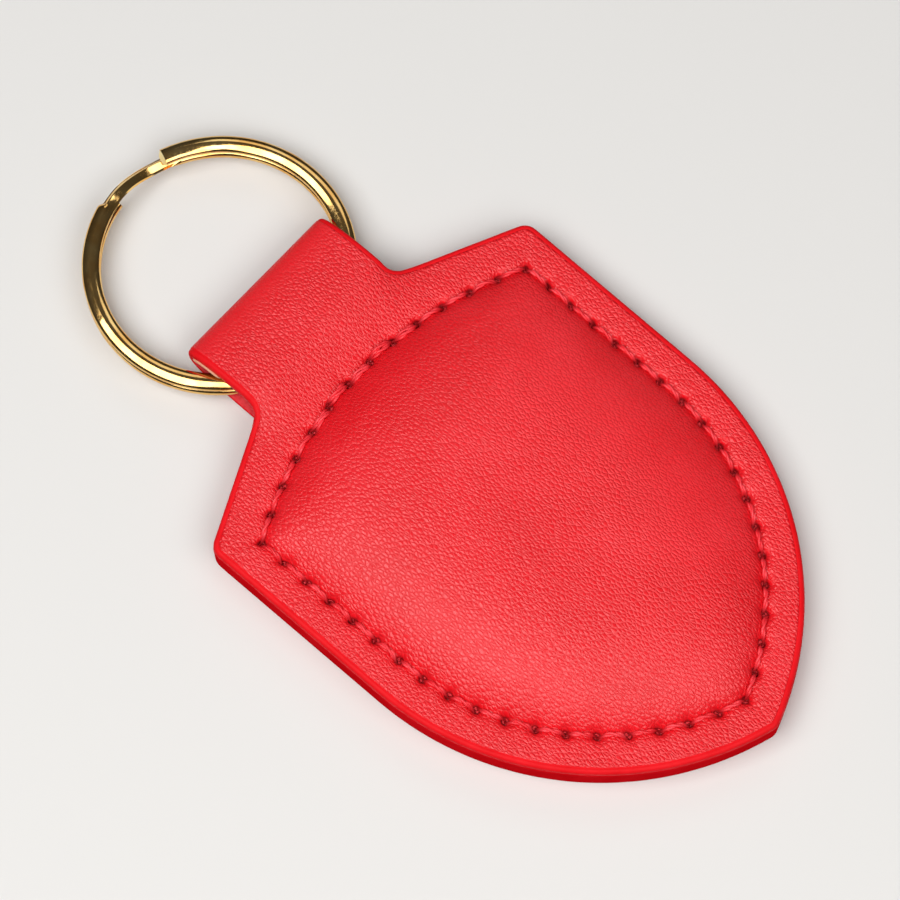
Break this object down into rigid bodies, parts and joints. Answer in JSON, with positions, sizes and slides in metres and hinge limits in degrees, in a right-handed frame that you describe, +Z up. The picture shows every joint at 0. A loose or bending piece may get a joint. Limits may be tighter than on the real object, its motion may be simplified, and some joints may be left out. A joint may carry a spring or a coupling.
{
  "type": "leather key fob",
  "caption": "Padded leather key fob, a stitched shield with a folded tab that holds a double-coil split ring.",
  "frame": {"origin": "on the surface that the fob lies on, under the middle of its length and width", "axes": "+Y from the shield's tip towards the ring, +Z up out of the padded front, +X to the right seen from the front with the ring at the top"},
  "size_m": [0.0504, 0.0935, 0.008],
  "materials": {
    "front_leather": "fine embossed grain, semi-gloss",
    "back_leather": "fine embossed grain, semi-gloss",
    "board": "fibre board, matte",
    "foam": "soft foam",
    "thread": "twisted polyester thread",
    "tape": "matte woven tape",
    "gold_ring": "polished gold plate"
  },
  "bodies": {
    "fob": {"front_cover": "front_leather", "back_cover": "back_leather", "stiffener_board": "board", "foam_pad": "foam", "needle_thread": "thread", "bobbin_thread": "thread"},
    "tab_loop": {"reinforcing_tape": "tape"},
    "ring": {"split_ring": "gold_ring"}
  },
  "joints": [
    {"name": "tab_bend", "type": "hinge", "parent": "fob", "child": "tab_loop", "pos_m": [0, 0.0143, 0.00241], "axis": [1, 0, 0], "range_deg": [-75, 75], "deforming": ["front_cover"]},
    {"name": "ring_spin", "type": "hinge", "parent": "tab_loop", "child": "ring", "pos_m": [-0.0005, 0.03183, 0.00252], "axis": [0, 0, 1], "continuous": true}
  ]
}
